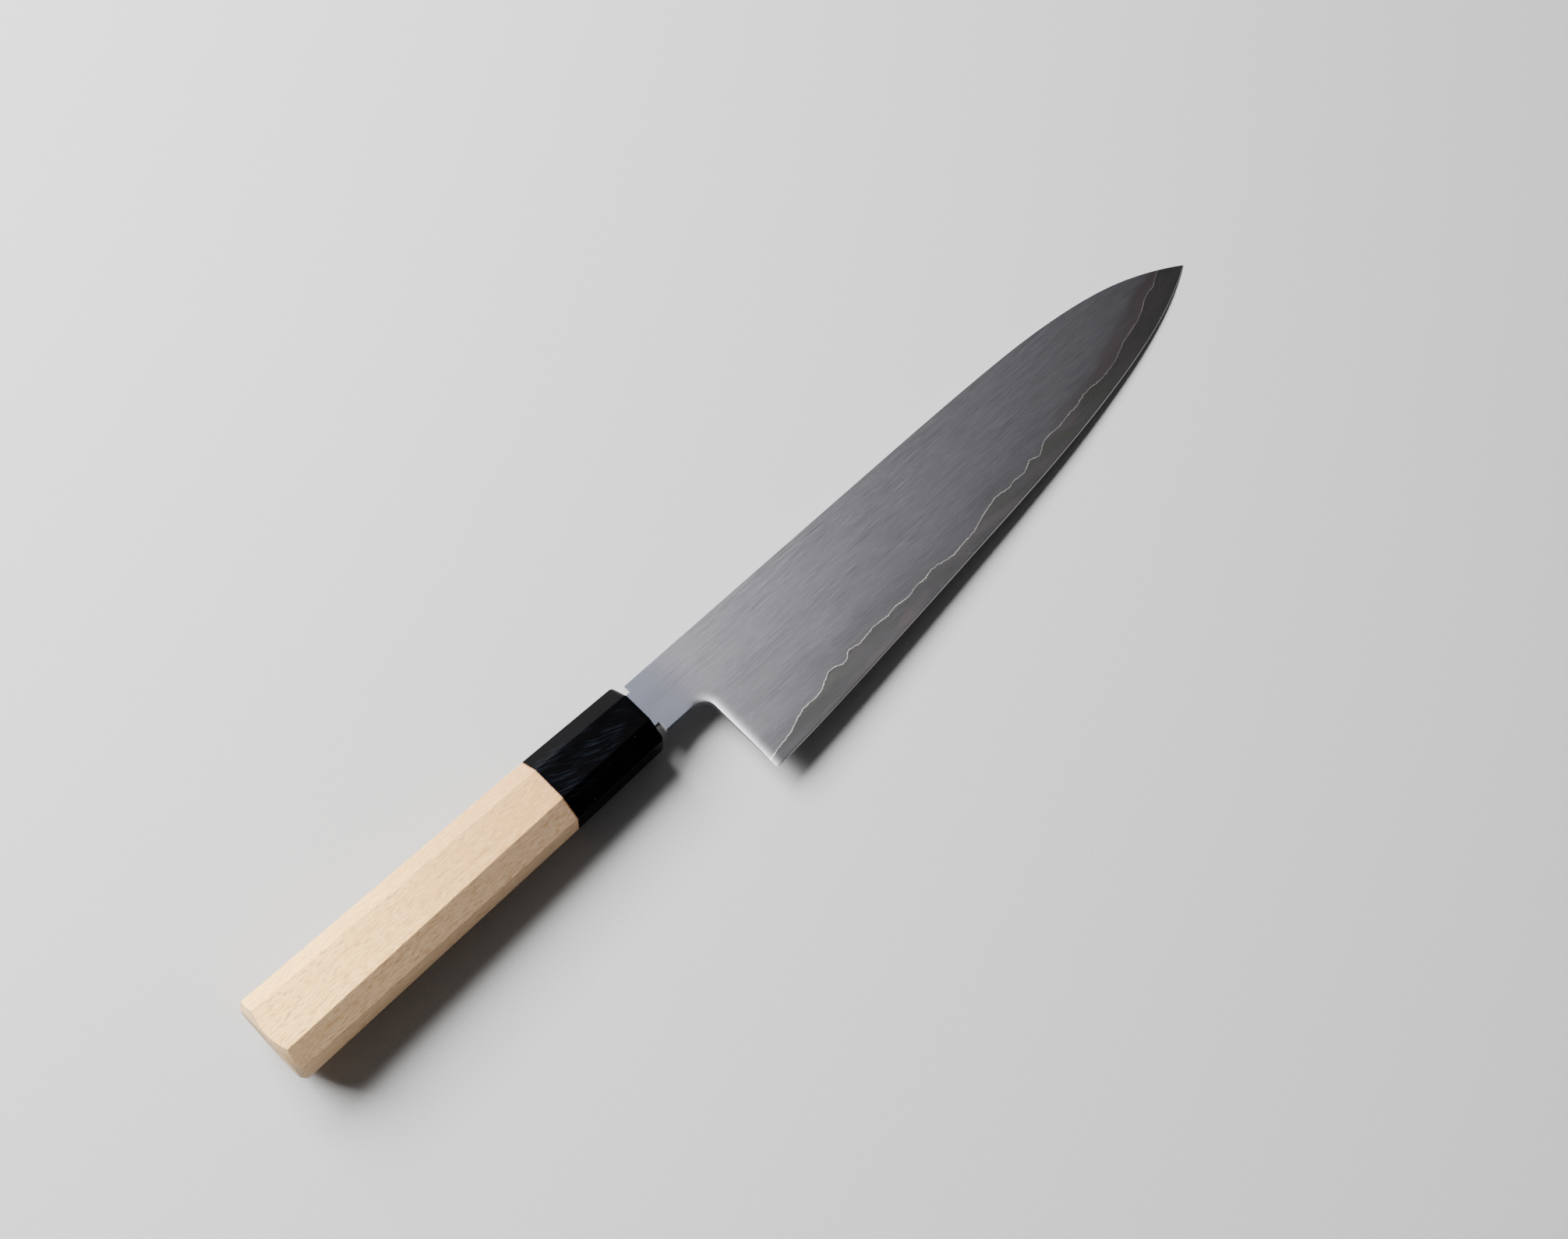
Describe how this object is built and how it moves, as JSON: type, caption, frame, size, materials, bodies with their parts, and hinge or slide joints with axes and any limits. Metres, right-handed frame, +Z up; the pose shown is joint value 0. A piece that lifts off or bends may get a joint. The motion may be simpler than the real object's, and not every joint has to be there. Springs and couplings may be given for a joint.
{
  "type": "chef knife",
  "caption": "Japanese-handled chef's knife: a thin clad steel blade with a tall heel, a hidden tang, a horn ferrule and an octagonal wooden grip.",
  "frame": {"origin": "on the table under the middle of the knife's bounding box, with the knife lying on its left side", "axes": "+X along the knife from butt to tip, +Y towards the spine (the cutting edge faces -Y), +Z up out of the blade's right face"},
  "size_m": [0.3622, 0.0506, 0.0244],
  "materials": {
    "core_steel": "dark satin hard steel, finely ground along the edge",
    "cladding_steel": "light satin stainless with fine lengthwise hairlines",
    "buffalo_horn": "polished black horn with faint blue-grey streaks",
    "ho_wood": "bare sanded pale wood with fine straight grain",
    "wood_glue": "thin brown glue line",
    "bedding_resin": "dark set resin"
  },
  "bodies": {
    "root": {"core_steel": "core_steel", "cladding_right": "cladding_steel", "cladding_left": "cladding_steel", "horn_ferrule": "buffalo_horn", "handle_body": "ho_wood", "ferrule_glue": "wood_glue", "tang_resin": "bedding_resin"}
  },
  "joints": []
}
